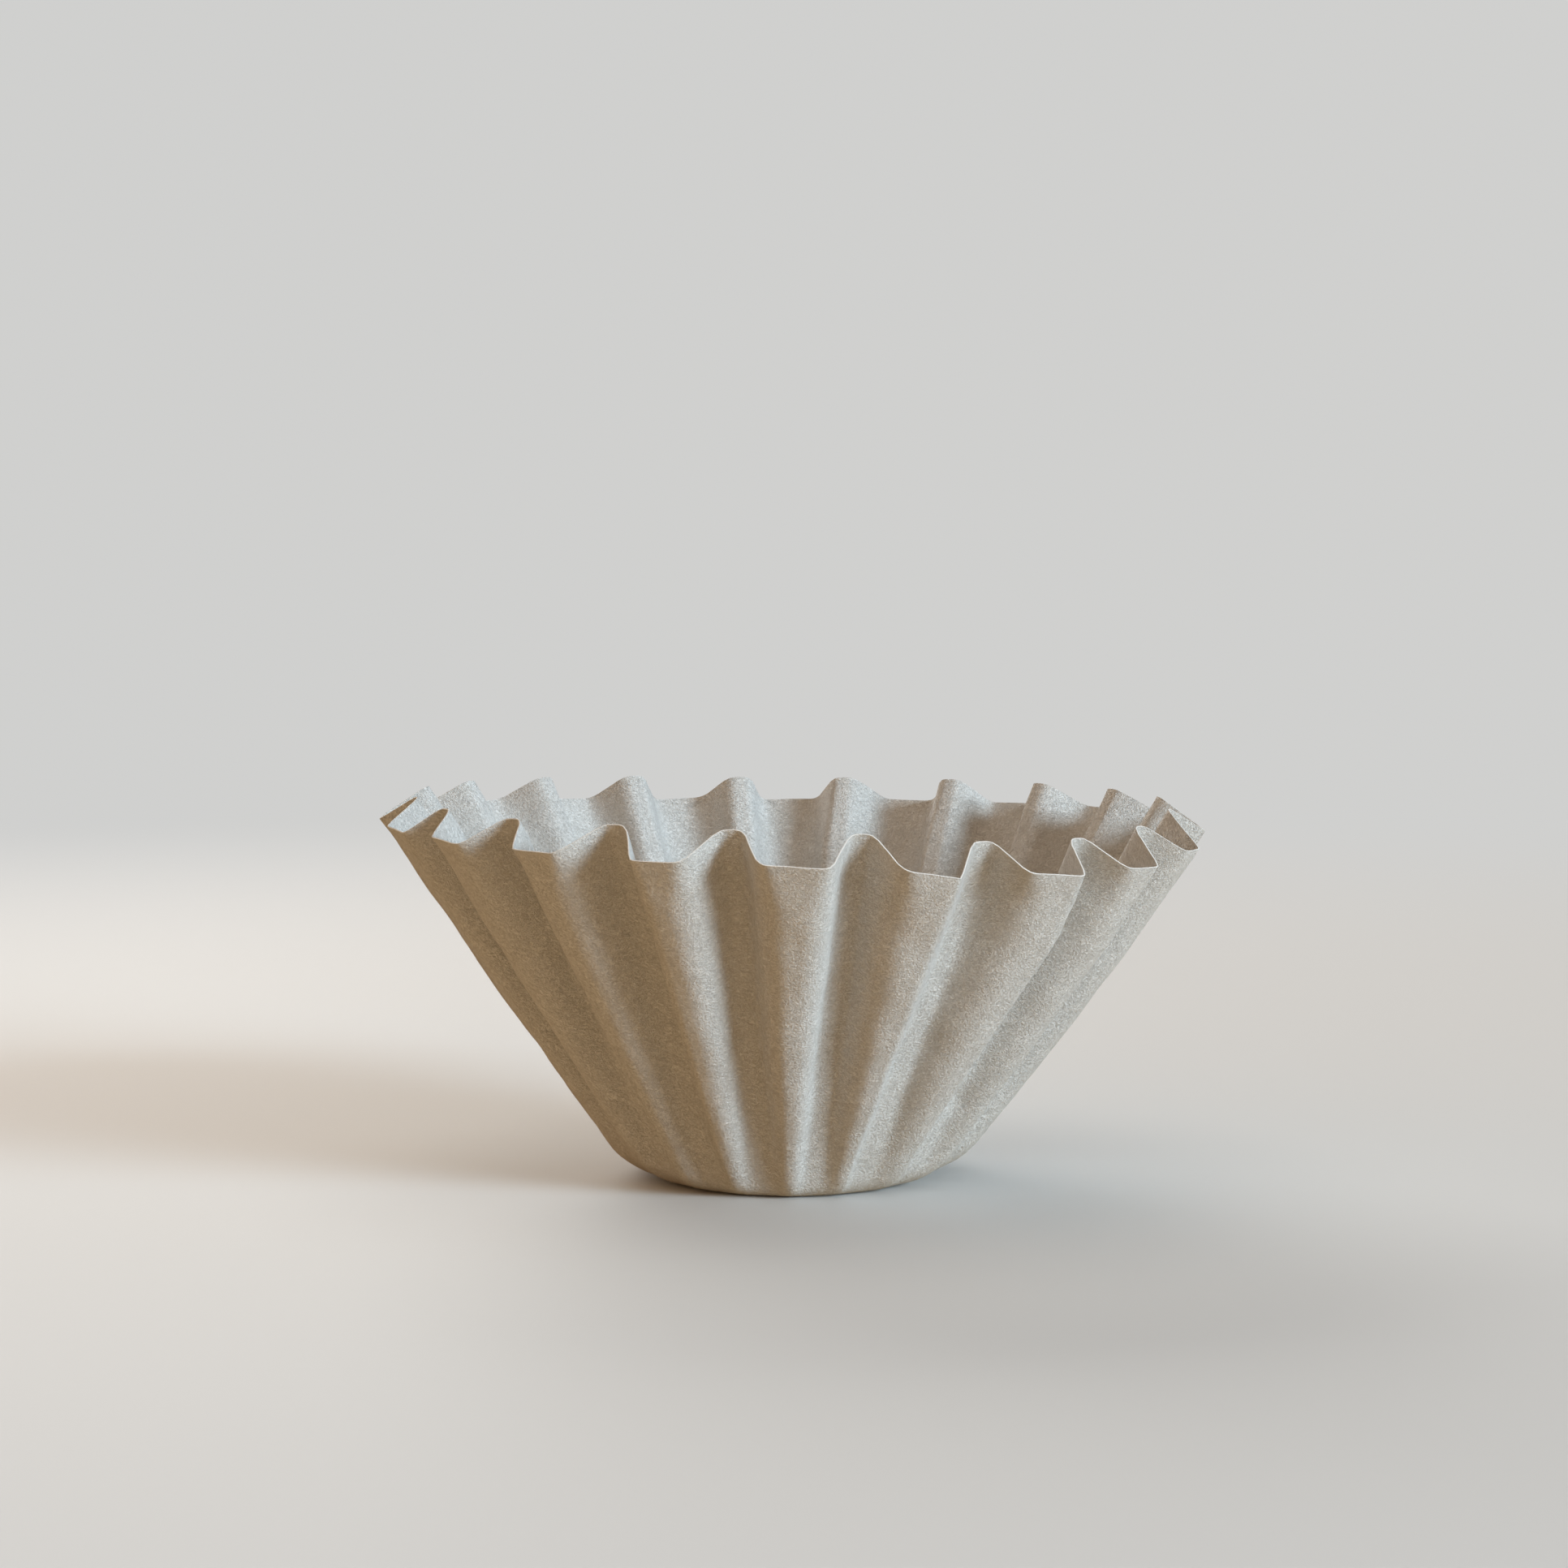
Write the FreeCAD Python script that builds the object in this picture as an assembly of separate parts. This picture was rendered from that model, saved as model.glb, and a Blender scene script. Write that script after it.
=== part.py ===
"""Fluted paper coffee filter: one round of filter paper pressed into a flat-bottomed cup.

Each flute has an outer face (the ridge), an inner face (the valley) and two flat flanks. The
ridges lean out further than the valleys, so the flutes are shallow at the heel and deep at the
cut edge. The paper doesn't stretch: every place on the cut edge is as far from the middle of
the base, measured along the paper, as the radius of the flat round that it was cut to. That is
why the cut edge stands higher in the steeper valleys than on the ridges.

Millimetres. The origin is the centre of the underside of the base and +Z is up.
"""
import FreeCAD, Part

import math
import os

from FreeCAD import Rotation, Vector

NODE = "paper_filter"

SIZES = [
    ("disc_diameter", 185.0, "flat round of paper, before it is pressed"),
    ("paper_thickness", 0.2, "filter paper"),
    ("base_diameter", 43.3, "flat part of the base, inside the heel"),
    ("flute_count", 20, "flutes round the wall"),
    ("ridge_wall_angle", 54.4, "outer faces, degrees from the base"),
    ("valley_wall_angle", 59.9, "inner faces, degrees from the base"),
    ("ridge_heel_radius", 8.9, "rounding from the base up to an outer face"),
    ("valley_heel_radius", 6.5, "rounding from the base up to an inner face"),
    ("ridge_width", 10.8, "outer face at the cut edge, from fold to fold"),
    ("valley_width", 3.4, "inner face at the cut edge, from fold to fold"),
    ("ridge_bend_reach", 1.4, "from an outer fold to the end of its bend, at the cut edge"),
    ("valley_bend_reach", 1.5, "from an inner fold to the end of its bend, at the cut edge"),
    ("bend_facets", 4, "narrow flats that turn a bend"),
]

UP = Vector(0, 0, 1)

doc = FreeCAD.newDocument("coffee_filter")
sheet = doc.addObject("Spreadsheet::Sheet", "sizes")
for row, (alias, value, meaning) in enumerate(SIZES, start=1):
    sheet.set(f"A{row}", meaning)
    sheet.set(f"B{row}", str(value))
    sheet.setAlias(f"B{row}", alias)
doc.recompute()


def size(alias):
    """Read one driving dimension from the sheet."""
    return float(sheet.get(alias))


BLANK_RADIUS = size("disc_diameter") / 2
BASE_RADIUS = size("base_diameter") / 2
FLUTES = round(size("flute_count"))
PITCH = 360 / FLUTES


def turned(point, degrees):
    """The point after a turn about the cup's axis."""
    return Rotation(UP, degrees).multVec(point)


def mirrored(point, degrees):
    """The point's mirror image in the upright plane through the axis at this direction."""
    level = turned(point, -degrees)
    return turned(Vector(level.x, -level.y, level.z), degrees)


def side_profile(heel_radius, wall_angle):
    """Foot, heel top and rim of one face in side view, each with its distance along the paper.

    The paper runs flat to the foot, up round the heel and then straight to the cut edge.
    """
    slope = math.radians(wall_angle)
    heel_reach = BASE_RADIUS + heel_radius * slope
    wall_length = BLANK_RADIUS - heel_reach
    top_radius = BASE_RADIUS + heel_radius * math.sin(slope)
    top_height = heel_radius * (1 - math.cos(slope))
    return {
        "foot": (BASE_RADIUS, 0, BASE_RADIUS),
        "top": (top_radius, top_height, heel_reach),
        "rim": (
            top_radius + wall_length * math.cos(slope),
            top_height + wall_length * math.sin(slope),
            BLANK_RADIUS,
        ),
    }


def face_point(place, share, facing):
    """A place of a side profile, moved along its level by its share of the way round."""
    radius, height, reach = place
    return turned(Vector(radius, reach * share, height), facing)


def meet_plane(start, end, on_plane, normal):
    """Where the line from start to end meets a plane."""
    along = end - start
    return start + along * ((on_plane - start).dot(normal) / along.dot(normal))


def outer_skin():
    """Corner points of the outer side of the paper, from a ridge to the valley beside it.

    The flank is the plane through the ridge's fold and the valley fold's rim end. The rest of
    the valley's fold is where that plane meets the valley's face.
    """
    ridge = side_profile(size("ridge_heel_radius"), size("ridge_wall_angle"))
    valley = side_profile(size("valley_heel_radius"), size("valley_wall_angle"))
    ridge_share = size("ridge_width") / 2 / BLANK_RADIUS
    valley_share = -size("valley_width") / 2 / BLANK_RADIUS
    middle = PITCH / 2
    ridge_rim = face_point(ridge["rim"], ridge_share, 0)
    ridge_top = face_point(ridge["top"], ridge_share, 0)
    valley_rim = face_point(valley["rim"], valley_share, middle)
    flank_normal = (ridge_rim - ridge_top).cross(valley_rim - ridge_top).normalize()
    valley_middle = face_point(valley["top"], 0, middle)
    valley_edge = face_point(valley["top"], valley_share, middle)
    valley_top = meet_plane(valley_middle, valley_edge, ridge_top, flank_normal)
    foot_share = -(valley_top - valley_middle).Length / valley["top"][2]
    return {
        "ridge_foot": face_point(ridge["foot"], ridge_share, 0),
        "ridge_top": ridge_top,
        "ridge_rim": ridge_rim,
        "valley_foot": face_point(valley["foot"], foot_share, middle),
        "valley_top": valley_top,
        "valley_rim": valley_rim,
        "ridge_face_end": toward(
            ridge_rim, mirrored(ridge_rim, 0), size("ridge_bend_reach")
        ),
        "ridge_flank_end": toward(ridge_rim, valley_rim, size("ridge_bend_reach")),
        "valley_flank_end": toward(valley_rim, ridge_rim, size("valley_bend_reach")),
        "valley_face_end": toward(
            valley_rim, mirrored(valley_rim, middle), size("valley_bend_reach")
        ),
    }


def toward(start, end, distance):
    """The point at this distance from start on the way to end."""
    return start + (end - start).normalize() * distance


def inner_skin(outer, thickness):
    """The same points on the inner side: each plane of the paper moved in by its thickness."""
    middle = PITCH / 2
    across = Vector(0, 1, 0)
    ridge_along = outer["ridge_rim"] - outer["ridge_top"]
    valley_along = outer["valley_rim"] - outer["valley_top"]
    ridge_in = ridge_along.cross(across).normalize()
    valley_in = valley_along.cross(turned(across, middle)).normalize()
    flank_in = ridge_along.cross(valley_along).normalize()
    if flank_in.dot(across) > 0:
        flank_in = flank_in * -1
    ridge_shift = fold_shift(ridge_in, flank_in, ridge_along) * thickness
    valley_shift = fold_shift(valley_in, flank_in, valley_along) * thickness
    ridge_step, valley_step, flank_step = (
        normal * thickness for normal in (ridge_in, valley_in, flank_in)
    )
    return {
        "ridge_foot": outer["ridge_foot"] + UP * thickness,
        "ridge_top": outer["ridge_top"] + ridge_shift,
        "ridge_rim": outer["ridge_rim"] + ridge_shift,
        "valley_foot": outer["valley_foot"] + UP * thickness,
        "valley_top": outer["valley_top"] + valley_shift,
        "valley_rim": outer["valley_rim"] + valley_shift,
        "ridge_face_end": outer["ridge_face_end"] + ridge_step,
        "ridge_flank_end": outer["ridge_flank_end"] + flank_step,
        "valley_flank_end": outer["valley_flank_end"] + flank_step,
        "valley_face_end": outer["valley_face_end"] + valley_step,
    }


def fold_shift(normal_a, normal_b, along):
    """The move of a fold, square to it, that takes it one unit in from both of its planes."""
    both = normal_a + normal_b
    square = both - along * (both.dot(along) / along.dot(along))
    return square * (1 / square.dot(normal_a))


def heel_curve(foot, top, rim, facing, heel_radius, wall_angle):
    """Poles of the arc from the base up to where the wall runs straight."""
    handle = heel_radius * 4 / 3 * math.tan(math.radians(wall_angle) / 4)
    return [
        foot,
        foot + turned(Vector(handle, 0, 0), facing),
        toward(top, rim, -handle),
        top,
    ]


def bend(start, fold, end):
    """Points along a bend at the cut edge, from one flat to the next."""
    curve = Part.BezierCurve()
    curve.setPoles([start, fold, end])
    facets = round(size("bend_facets"))
    return [curve.value(step / facets) for step in range(facets + 1)]


def patch(rows):
    """A face through a grid of poles, straight or curved each way by the number of poles."""
    surface = Part.BezierSurface()
    surface.increase(len(rows) - 1, len(rows[0]) - 1)
    for i, row_poles in enumerate(rows, start=1):
        for j, pole in enumerate(row_poles, start=1):
            surface.setPole(i, j, pole)
    return surface.toShape()


def flat(*corners):
    """A flat face with these corners."""
    return Part.Face(Part.makePolygon([*corners, corners[0]]))


def flute_lines(points, inset):
    """The heel curves and the cut edge of one flank, from its ridge to its valley."""
    return {
        "ridge_heel": heel_curve(
            points["ridge_foot"], points["ridge_top"], points["ridge_rim"], 0,
            size("ridge_heel_radius") - inset, size("ridge_wall_angle"),
        ),
        "valley_heel": heel_curve(
            points["valley_foot"], points["valley_top"], points["valley_rim"], PITCH / 2,
            size("valley_heel_radius") - inset, size("valley_wall_angle"),
        ),
        "ridge_bend": bend(
            points["ridge_face_end"], points["ridge_rim"], points["ridge_flank_end"]
        ),
        "valley_bend": bend(
            points["valley_flank_end"], points["valley_rim"], points["valley_face_end"]
        ),
    }


def flank_faces(lines):
    """Heel, wall and both bends of one flank."""
    ridge_heel, valley_heel = lines["ridge_heel"], lines["valley_heel"]
    ridge_bend, valley_bend = lines["ridge_bend"], lines["valley_bend"]
    faces = [
        patch([ridge_heel, valley_heel]),
        flat(ridge_heel[-1], ridge_bend[-1], valley_bend[0], valley_heel[-1]),
    ]
    for heel, edge in ((ridge_heel, ridge_bend), (valley_heel, valley_bend)):
        faces += [flat(heel[-1], start, end) for start, end in zip(edge, edge[1:])]
    return faces


def crown_faces(heel, edge_end, facing):
    """Heel and wall of a ridge or a valley, from the fold on one side to its mirror image."""
    far_heel = [mirrored(pole, facing) for pole in heel]
    far_end = mirrored(edge_end, facing)
    return [patch([heel, far_heel]), flat(heel[-1], edge_end, far_end, far_heel[-1])]


def skin_faces(lines):
    """One flute of one side of the paper: a ridge, its two flanks and the valley after it."""
    near = flank_faces(lines)
    far = [face.mirror(Vector(), Vector(0, 1, 0)) for face in near]
    ridge = crown_faces(lines["ridge_heel"], lines["ridge_bend"][0], 0)
    valley = crown_faces(lines["valley_heel"], lines["valley_bend"][-1], PITCH / 2)
    return near + far + ridge + valley


def cut_edge_points(lines):
    """The cut edge of one flute, from the valley before its ridge to the valley after it."""
    near = lines["ridge_bend"] + lines["valley_bend"]
    far = [mirrored(point, 0) for point in reversed(near)]
    return far + near + [mirrored(near[-1], PITCH / 2)]


def cut_edge_faces(outside, inside):
    """The narrow faces of the cut edge, square to the paper."""
    pairs = list(zip(cut_edge_points(outside), cut_edge_points(inside)))
    return [patch([list(start), list(end)]) for start, end in zip(pairs, pairs[1:])]


def base_face(lines):
    """The flat base inside the heel."""
    feet = [lines["ridge_heel"][0], lines["valley_heel"][0]]
    flute = [mirrored(feet[0], 0), *feet, mirrored(feet[1], PITCH / 2)]
    return flat(*(turned(foot, step * PITCH) for step in range(FLUTES) for foot in flute))


def paper_sheet():
    """The pressed sheet as one closed solid."""
    thickness = size("paper_thickness")
    outer = outer_skin()
    outside = flute_lines(outer, 0)
    inside = flute_lines(inner_skin(outer, thickness), thickness)
    flute = skin_faces(outside) + skin_faces(inside) + cut_edge_faces(outside, inside)
    faces = [base_face(outside), base_face(inside)]
    for step in range(FLUTES):
        faces += [face.rotated(Vector(), UP, step * PITCH) for face in flute]
    shell = Part.makeShell(faces)
    shell.sewShape()
    solid = Part.makeSolid(Part.Shell(shell.Faces))
    if solid.Volume < 0:
        solid.reverse()
    return solid


paper = doc.addObject("Part::Feature", NODE)
paper.Label = NODE
paper.Shape = paper_sheet()
paper.Placement = FreeCAD.Placement()
doc.recompute()

for item in doc.Objects:
    if any(state in ("Invalid", "Error") for state in item.State):
        raise RuntimeError(f"{item.Label} failed to build")
shape = paper.Shape
if shape.isNull() or not shape.isValid() or len(shape.Solids) != 1:
    raise RuntimeError(f"{NODE} is not one valid solid")

os.makedirs("parts", exist_ok=True)
shape.exportStep(f"parts/{NODE}.step")

box = shape.BoundBox
print(f"{NODE}: {box.XLength:.2f} x {box.YLength:.2f} x {box.ZLength:.2f} mm")
print(f"paper {shape.Volume / 1000:.3f} cm3, {len(shape.Faces)} faces")
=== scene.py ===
# %% [markdown]
# # A paper coffee filter
#
# The real thing is one round of white filter paper, 185 mm across, pressed hot between two
# fluted moulds. The middle stays flat and becomes the base. The rest is turned up into a wall,
# and because a wall has less room round it than a flat ring, the spare paper goes into flutes:
# 20 ridges that stand out and 20 valleys that lie back.
#
# The scene follows the paper. Each point of the flat round gets its place on the folded cup, so
# lengths along the paper stay what they are, and the fibres of the finish lie as they lie in the
# sheet. Lengths are worked in millimetres and turned to metres only when the mesh is made.

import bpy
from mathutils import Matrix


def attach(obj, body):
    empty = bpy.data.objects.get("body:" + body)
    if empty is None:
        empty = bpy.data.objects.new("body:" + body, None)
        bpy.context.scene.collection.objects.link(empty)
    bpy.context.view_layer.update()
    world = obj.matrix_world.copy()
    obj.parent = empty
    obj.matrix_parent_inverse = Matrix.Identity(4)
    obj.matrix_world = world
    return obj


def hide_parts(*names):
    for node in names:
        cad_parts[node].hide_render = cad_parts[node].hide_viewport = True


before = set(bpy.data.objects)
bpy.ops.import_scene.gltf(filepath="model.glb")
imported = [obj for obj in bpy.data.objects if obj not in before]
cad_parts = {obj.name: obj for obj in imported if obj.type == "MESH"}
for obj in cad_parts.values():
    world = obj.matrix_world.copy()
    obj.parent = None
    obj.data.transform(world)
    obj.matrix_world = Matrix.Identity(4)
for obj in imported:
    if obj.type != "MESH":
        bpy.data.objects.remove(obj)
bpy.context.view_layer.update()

# %% Libraries
import math

import bpy
import numpy as np
from mathutils import Vector, noise

MM = 0.001


# %% [markdown]
# ## Camera
#
# The photograph is taken from just above the rim, with a long lens, so the wall is seen almost
# square on and the cut edge shows as a wavy line. The place of the camera comes from fitting
# flute corners, valley tops and the outline; the picture is 1932 pixels square and the lens is
# 4994 of those pixels long. A camera with a lens in millimetres needs only the ratio of the two.

# %% Camera
PICTURE_SIDE = 1932
LENS_PIXELS = 4994
SENSOR_WIDTH = 36.0
CAMERA_PLACE = (0.0, -647.1, 108.7)
CAMERA_TILT_DOWN = math.radians(4.08)
CAMERA_TURN_LEFT = math.radians(0.10)

camera_data = bpy.data.cameras.new("camera")
camera_data.sensor_width = SENSOR_WIDTH
camera_data.lens = SENSOR_WIDTH * LENS_PIXELS / PICTURE_SIDE
camera = bpy.data.objects.new("camera", camera_data)
camera.location = [v * MM for v in CAMERA_PLACE]
camera.rotation_euler = (math.pi / 2 - CAMERA_TILT_DOWN, 0.0, CAMERA_TURN_LEFT)
bpy.context.scene.collection.objects.link(camera)
bpy.context.scene.camera = camera
print("lens, mm:", round(camera_data.lens, 2))


# %% [markdown]
# ## Floor, light and background
#
# The object stands on a plain pale floor. A large soft lamp to the right plays the window of the
# photograph, cool and low enough to light the right-hand side of each ridge and leave the left
# side to the room. Two weak lamps, above and behind, keep the back from going black; a world
# alone could do that too, but then the flutes at the back would show no form. The room is warm:
# its light comes from the world, which is brighter in front on the left than elsewhere, and from
# the floor, which throws a warm light up under the leaning wall. Rays from the camera see a
# paler floor than that, fading with distance into a pale background that lights nothing.

# %% Small helpers for shader nodes
# A Mix node has sockets for every kind of data. These are the places of its colour sockets.
MIX_FIRST, MIX_SECOND, MIX_RESULT = 6, 7, 2


def new_material(name):
    """A material with an empty node tree."""
    material = bpy.data.materials.new(name)
    material.use_nodes = True
    material.node_tree.nodes.clear()
    return material


def add_node(tree, kind, **settings):
    """A new node with its properties set."""
    node = tree.nodes.new(kind)
    for key, value in settings.items():
        setattr(node, key, value)
    return node


# %% Floor
FLOOR_SIDE = 8.0
FLOOR_DROP = 0.0001
FLOOR_ROUGHNESS, FLOOR_SPECULAR = 0.7, 0.2
FLOOR_SEEN = (0.68, 0.69, 0.69, 1.0)
FLOOR_GLOW = (0.58, 0.41, 0.225, 1.0)
SEEN_BACKGROUND = (0.63, 0.63, 0.62, 1.0)
FADE_START, FADE_FULL = 0.17, 0.75

floor_half = FLOOR_SIDE / 2
floor_mesh = bpy.data.meshes.new("floor")
floor_mesh.from_pydata(
    [(x * floor_half, y * floor_half, -FLOOR_DROP) for x, y in ((-1, -1), (1, -1), (1, 1), (-1, 1))],
    [], [(0, 1, 2, 3)])
floor = bpy.data.objects.new("floor", floor_mesh)
bpy.context.scene.collection.objects.link(floor)

# %% Floor finish: matt and pale, warm where light leaves it, and fading into the background
floor_material = new_material("floor_pale")
floor_tree = floor_material.node_tree
floor_path = add_node(floor_tree, "ShaderNodeLightPath")
floor_colour = add_node(floor_tree, "ShaderNodeMix", data_type="RGBA")
floor_colour.inputs[MIX_FIRST].default_value = FLOOR_GLOW
floor_colour.inputs[MIX_SECOND].default_value = FLOOR_SEEN
floor_shader = add_node(floor_tree, "ShaderNodeBsdfPrincipled")
floor_shader.inputs["Roughness"].default_value = FLOOR_ROUGHNESS
floor_shader.inputs["Specular IOR Level"].default_value = FLOOR_SPECULAR
floor_far = add_node(floor_tree, "ShaderNodeEmission")
floor_far.inputs["Color"].default_value = SEEN_BACKGROUND
floor_place = add_node(floor_tree, "ShaderNodeTexCoord")
floor_distance = add_node(floor_tree, "ShaderNodeVectorMath", operation="LENGTH")
floor_fade = add_node(floor_tree, "ShaderNodeMapRange", interpolation_type="SMOOTHSTEP")
floor_fade.inputs["From Min"].default_value = FADE_START
floor_fade.inputs["From Max"].default_value = FADE_FULL
floor_seen_fade = add_node(floor_tree, "ShaderNodeMath", operation="MULTIPLY")
floor_mix = add_node(floor_tree, "ShaderNodeMixShader")
floor_output = add_node(floor_tree, "ShaderNodeOutputMaterial")
for source, target in (
        (floor_path.outputs["Is Camera Ray"], floor_colour.inputs["Factor"]),
        (floor_colour.outputs[MIX_RESULT], floor_shader.inputs["Base Color"]),
        (floor_place.outputs["Object"], floor_distance.inputs[0]),
        (floor_distance.outputs["Value"], floor_fade.inputs["Value"]),
        (floor_fade.outputs["Result"], floor_seen_fade.inputs[0]),
        (floor_path.outputs["Is Camera Ray"], floor_seen_fade.inputs[1]),
        (floor_seen_fade.outputs["Value"], floor_mix.inputs["Fac"]),
        (floor_shader.outputs["BSDF"], floor_mix.inputs[1]),
        (floor_far.outputs["Emission"], floor_mix.inputs[2]),
        (floor_mix.outputs["Shader"], floor_output.inputs["Surface"])):
    floor_tree.links.new(source, target)
floor_mesh.materials.append(floor_material)

# %% Lamps
LAMP_AIM = Vector((0.0, 0.0, 30.0))


def soft_lamp(name, place, width, power, colour):
    """A square area lamp that looks at the cup's middle; place and width in millimetres."""
    data = bpy.data.lights.new(name, "AREA")
    data.shape = "SQUARE"
    data.size = width * MM
    data.energy = power
    data.color = colour
    lamp = bpy.data.objects.new(name, data)
    lamp.location = Vector(place) * MM
    lamp.rotation_euler = (LAMP_AIM - Vector(place)).to_track_quat("-Z", "Y").to_euler()
    lamp.visible_camera = False
    bpy.context.scene.collection.objects.link(lamp)


soft_lamp("window_right", place=(1830, -1290, 680), width=850, power=67.0,
          colour=(0.68, 0.86, 1.0))
soft_lamp("room_above", place=(-100, 200, 1000), width=900, power=2.4,
          colour=(1.0, 0.95, 0.88))
soft_lamp("room_behind", place=(-600, 1500, 650), width=1000, power=19.0,
          colour=(0.98, 0.95, 0.91))

# %% World: a warm room, brightest towards BRIGHT_SIDE
ROOM_BRIGHT = (0.71, 0.475, 0.285, 1.0)
ROOM_DIM = (0.13, 0.10, 0.075, 1.0)
BRIGHT_SIDE = (-0.50, -0.84, -0.20)
DIM_FROM, BRIGHT_FROM = -0.5, 1.0

world = bpy.data.worlds.new("room")
bpy.context.scene.world = world
world.use_nodes = True
world_tree = world.node_tree
world_tree.nodes.clear()
room_light = add_node(world_tree, "ShaderNodeBackground")
room_way = add_node(world_tree, "ShaderNodeTexCoord")
room_side = add_node(world_tree, "ShaderNodeVectorMath", operation="DOT_PRODUCT")
room_side.inputs[1].default_value = BRIGHT_SIDE
room_part = add_node(world_tree, "ShaderNodeMapRange")
room_part.inputs["From Min"].default_value = DIM_FROM
room_part.inputs["From Max"].default_value = BRIGHT_FROM
room_colour = add_node(world_tree, "ShaderNodeMix", data_type="RGBA")
room_colour.inputs[MIX_FIRST].default_value = ROOM_DIM
room_colour.inputs[MIX_SECOND].default_value = ROOM_BRIGHT
world_tree.links.new(room_way.outputs["Generated"], room_side.inputs[0])
world_tree.links.new(room_side.outputs["Value"], room_part.inputs["Value"])
world_tree.links.new(room_part.outputs["Result"], room_colour.inputs["Factor"])
world_tree.links.new(room_colour.outputs[MIX_RESULT], room_light.inputs["Color"])
seen_background = add_node(world_tree, "ShaderNodeBackground")
seen_background.inputs["Color"].default_value = SEEN_BACKGROUND
light_path = add_node(world_tree, "ShaderNodeLightPath")
world_mix = add_node(world_tree, "ShaderNodeMixShader")
world_output = add_node(world_tree, "ShaderNodeOutputWorld")
world_tree.links.new(light_path.outputs["Is Camera Ray"], world_mix.inputs["Fac"])
world_tree.links.new(room_light.outputs["Background"], world_mix.inputs[1])
world_tree.links.new(seen_background.outputs["Background"], world_mix.inputs[2])
world_tree.links.new(world_mix.outputs["Shader"], world_output.inputs["Surface"])

bpy.context.scene.view_settings.view_transform = "Standard"
print("floor, lamps and world are set")


# %% [markdown]
# ## The fold lines
#
# Seen from the side, each ridge and each valley is the same story: flat base, a curve at the
# heel, then a straight wall up to the cut edge. The paper is equally long on both, but the valley
# turns up sooner and stands steeper, so it lies further in and ends higher. That is why the cut
# edge goes up and down. A real stack has been leaning and pressed, so no two flutes are quite
# the same: the tables hold what differs, read off the visible half and carried on plainly
# round the back. Random numbers would make the cup uneven with less writing, but it would be
# another cup than this one.

# %% Sizes of the folded sheet, in millimetres
FLUTES = 20
BANDS = 2 * FLUTES
DISC_RADIUS = 92.5
BASE_RADIUS = 21.65
PAPER_THICKNESS = 0.2
RIDGE_SLOPE, VALLEY_SLOPE = math.radians(54.4), math.radians(59.9)
RIDGE_HEEL, VALLEY_HEEL = 8.9, 6.5

# The foot is not quite round: it reaches further out in front and behind than at the sides,
# and least on the right. Where it reaches less, the heel is rounder, so the wall above stays
# where it is.
FOOT_MEAN, FOOT_WAVE, FOOT_RIGHT, HEEL_PER_FOOT = -1.2, 2.7, -0.7, 1.8


# %% Where a fold line runs
def fold_line(along, slope, heel, angle=0.0):
    """How far out and how high a fold line is, at a distance along the paper from the centre."""
    foot = FOOT_MEAN + FOOT_WAVE * math.cos(2 * angle) + FOOT_RIGHT * max(math.sin(angle), 0.0)
    heel = heel - HEEL_PER_FOOT * foot
    spare = np.maximum(along - BASE_RADIUS - foot, 0.0)
    turn = np.minimum(spare / heel, slope)
    straight = np.maximum(spare - slope * heel, 0.0)
    out = np.minimum(along, BASE_RADIUS + foot) + heel * np.sin(turn) + straight * math.cos(slope)
    up = heel * (1 - np.cos(turn)) + straight * math.sin(slope)
    return out, up


print("ridge at the cut edge, mm:", [round(float(v), 2) for v in
      fold_line(np.array(DISC_RADIUS), RIDGE_SLOPE, RIDGE_HEEL)])

# %% How each flute differs
# From the flute that faces the camera round to the right, through the back, and to the left.
# Widths and lifts are in millimetres at the cut edge, turns in degrees.
RIDGE_WIDTHS = [10.8, 8.9, 10.2, 8.4, 8.6, 9.4, 9.9, 9.0, 10.4, 9.3,
                9.8, 8.8, 10.1, 9.5, 8.7, 9.6, 9.4, 8.6, 8.6, 8.2]
RIDGE_LIFTS = [0.9, -0.6, -1.7, -2.3, -1.4, 0.1, 0.6, 0.8, 0.8, 0.9,
               0.9, 1.2, 1.6, 1.9, 2.1, 2.2, 2.0, 1.9, 1.8, 1.4]
RIDGE_TURNS = [0.3, 0.1, 0.7, -0.1, -1.0, 0.2, -0.4, 0.5, 0.0, -0.5,
               0.4, -0.3, 0.5, -0.2, 0.4, 0.6, 2.7, 0.9, 0.3, 0.3]
VALLEY_LIFTS = [0.9, -0.8, -1.5, -1.2, -0.1, 0.5, 0.6, 0.7, 0.8, 0.9,
                1.0, 1.4, 1.7, 2.0, 2.2, 1.9, 1.6, 1.5, 1.7, 1.5]
VALLEY_TURNS = [0.8, 1.0, 0.4, -0.4, 0.2, -0.3, 0.3, 0.1, -0.4, 0.3,
                -0.2, 0.4, -0.1, 0.5, 0.0, 0.3, 0.4, 0.6, 0.9, 0.4]
# Near the heel some flutes stand at another angle than at the cut edge.
RIDGE_HEEL_TURNS = [-0.5, -2.6, -1.0, -0.3, 0.0, 0.3, 0.0, -0.2, 0.3, 0.0,
                    0.2, -0.3, 0.0, 0.2, 0.0, 0.3, 0.5, 0.3, 0.2, -0.3]
VALLEY_HEEL_TURNS = [-1.2, -2.8, -0.6, 0.0, 0.2, -0.2, 0.0, 0.2, 0.0, -0.3,
                     0.0, 0.2, -0.2, 0.0, 0.3, 0.0, 0.2, 0.3, 0.3, -0.2]
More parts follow.
